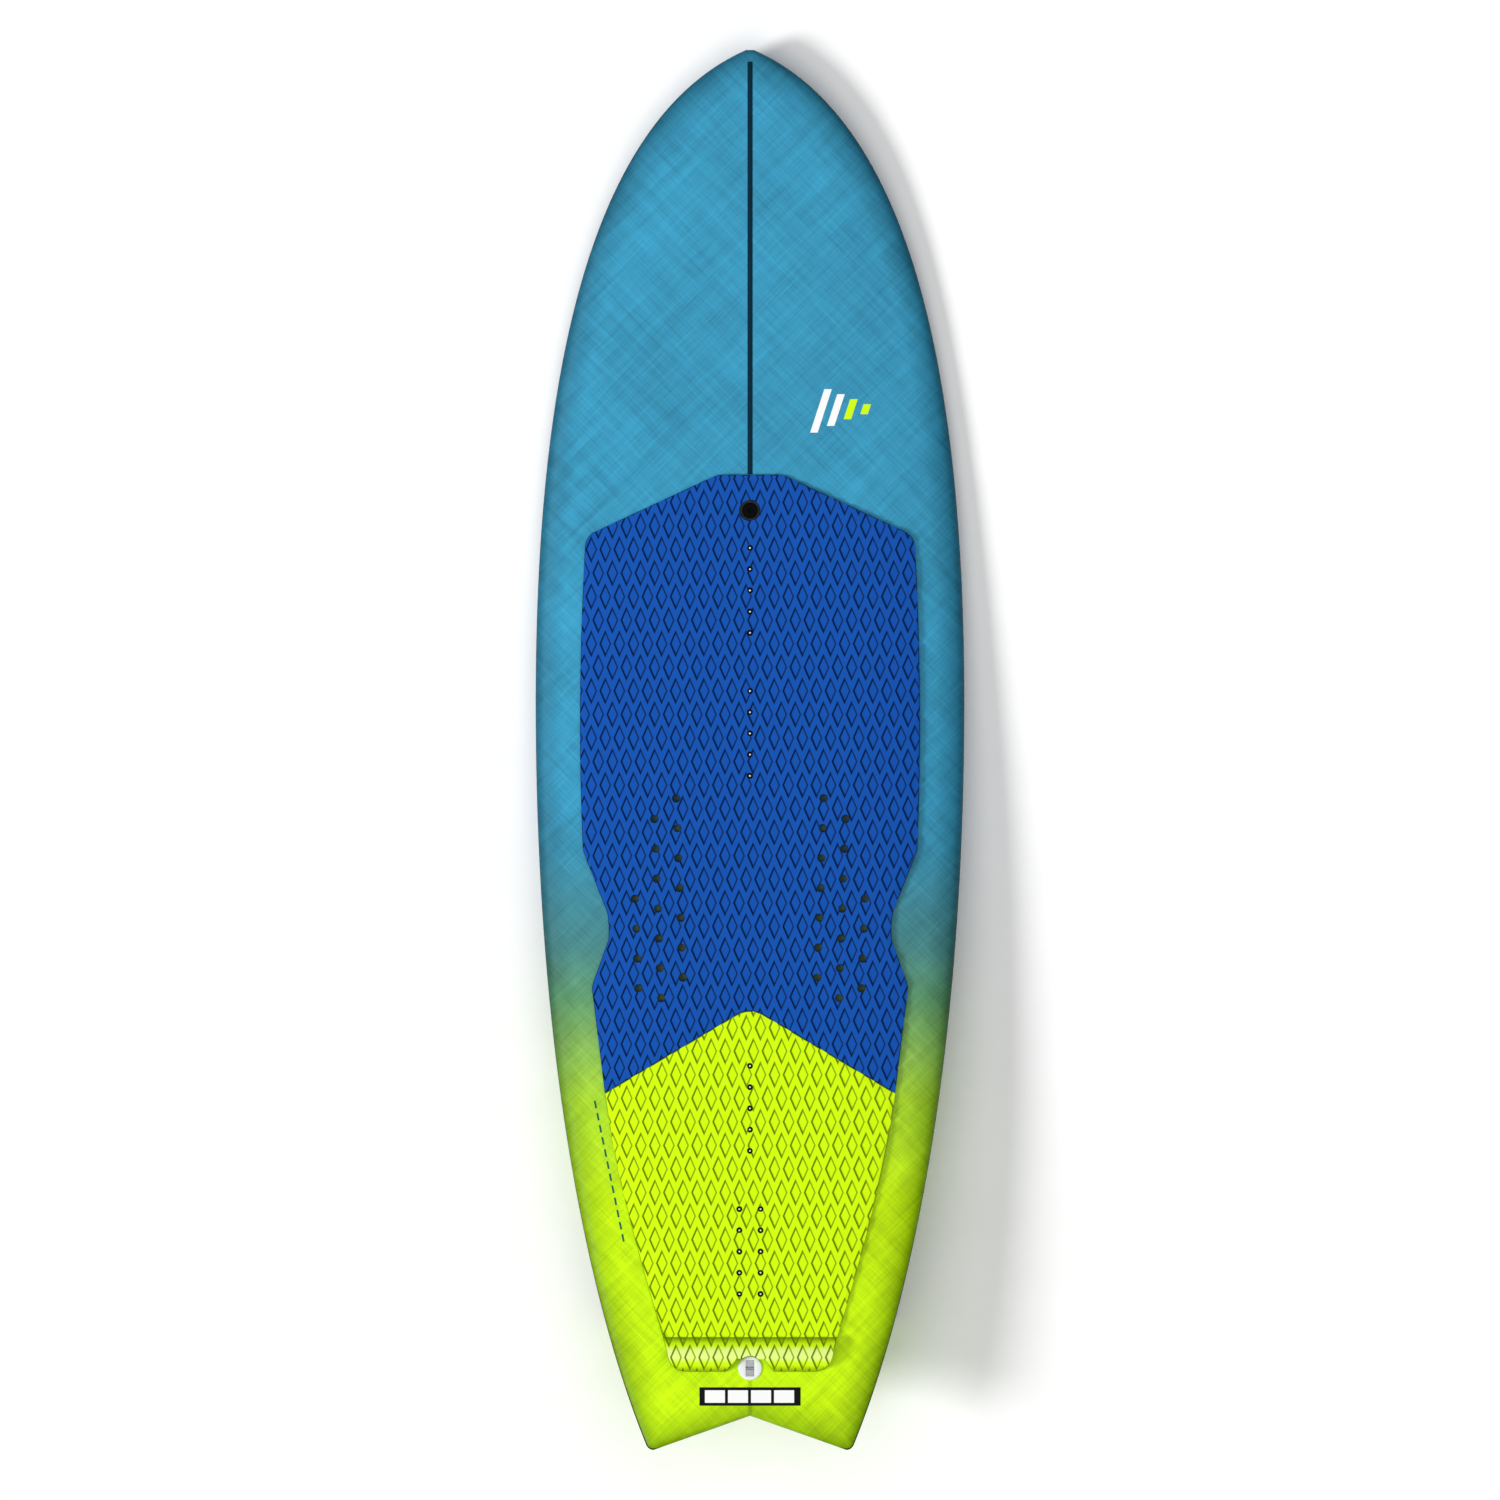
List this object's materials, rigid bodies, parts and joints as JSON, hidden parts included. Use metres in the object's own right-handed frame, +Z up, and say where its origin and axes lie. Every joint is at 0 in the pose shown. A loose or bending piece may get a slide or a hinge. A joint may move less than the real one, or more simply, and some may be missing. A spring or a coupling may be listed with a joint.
{
  "type": "kiteboard",
  "caption": "Directional surf-style kiteboard with a swallow tail, grooved deck pads, threaded strap inserts, leash plug, screw vent and fins.",
  "frame": {"origin": "under the middle of the board's box, on the ground plane the board rests on", "axes": "+Y towards the nose along the board, +Z up from the ground, +X to the board's right as seen from the deck with the nose ahead"},
  "size_m": [0.513, 1.6736, 0.1663],
  "materials": {
    "core_foam": "bare bead foam",
    "stringer_wood": "bare",
    "sandwich_foam": "bare PVC foam",
    "deck_paint": "clear gloss laminate over a sprayed blue to lime fade",
    "bottom_paint": "clear gloss laminate over a sprayed blue to lime fade",
    "carbon": "clear gloss",
    "front_pad_foam": "moulded closed-cell foam with cut diamonds",
    "rear_pad_foam": "moulded closed-cell foam with cut diamonds",
    "dense_foam": "bare high-density foam",
    "white_plastic": "moulded",
    "black_plastic": "moulded",
    "seal_rubber": "smooth",
    "membrane": "woven breather disc",
    "steel": "bright",
    "fin_composite": "sanded glass-filled composite"
  },
  "bodies": {
    "board": {"bottom_laminate": "bottom_paint", "bottom_sandwich_sheet": "sandwich_foam", "centre_fin": "fin_composite", "centre_fin_box": "black_plastic", "centre_fin_screw_front": "steel", "centre_fin_screw_rear": "steel", "core_left": "core_foam", "core_right": "core_foam", "deck_carbon_strip": "carbon", "deck_laminate": "deck_paint", "deck_sandwich_sheet": "sandwich_foam", "front_pad": "front_pad_foam", "front_strap_insert_block": "dense_foam", "kick_wedge": "dense_foam", "leash_bar": "steel", "leash_cup": "white_plastic", "left_fin": "fin_composite", "left_fin_box": "black_plastic", "left_fin_screw_front": "steel", "left_fin_screw_rear": "steel", "middle_strap_insert_block": "dense_foam", "rear_pad": "rear_pad_foam", "rear_strap_insert_block": "dense_foam", "right_fin": "fin_composite", "right_fin_box": "black_plastic", "right_fin_screw_front": "steel", "right_fin_screw_rear": "steel", "strap_insert_01": "black_plastic", "strap_insert_02": "black_plastic", "strap_insert_03": "black_plastic", "strap_insert_04": "black_plastic", "strap_insert_05": "black_plastic", "strap_insert_06": "black_plastic", "strap_insert_07": "black_plastic", "strap_insert_08": "black_plastic", "strap_insert_09": "black_plastic", "strap_insert_10": "black_plastic", "strap_insert_11": "black_plastic", "strap_insert_12": "black_plastic", "strap_insert_13": "black_plastic", "strap_insert_14": "black_plastic", "strap_insert_15": "black_plastic", "strap_insert_16": "black_plastic", "strap_insert_17": "black_plastic", "strap_insert_18": "black_plastic", "strap_insert_19": "black_plastic", "strap_insert_20": "black_plastic", "strap_insert_21": "black_plastic", "strap_insert_22": "black_plastic", "strap_insert_23": "black_plastic", "strap_insert_24": "black_plastic", "strap_insert_25": "black_plastic", "stringer": "stringer_wood", "tail_strap_insert_block": "dense_foam", "vent_housing": "black_plastic", "vent_membrane": "membrane"},
    "vent_seal": {"vent_seal": "seal_rubber"},
    "vent_cap": {"vent_cap": "black_plastic"}
  },
  "joints": [
    {"name": "vent_cap_lift", "type": "slide", "parent": "board", "child": "vent_seal", "axis": [0, 0.0556, 0.9985], "range_m": [0, 0.0105]},
    {"name": "vent_cap_turn", "type": "hinge", "parent": "vent_seal", "child": "vent_cap", "pos_m": [0, 0.28349, 0.04841], "axis": [0, 0.0556, 0.9985], "range_deg": [0, 2521]}
  ],
  "couplings": [
    {"joint": "vent_cap_turn", "follows": "vent_cap_lift", "rad_per_m": 4188.8}
  ]
}
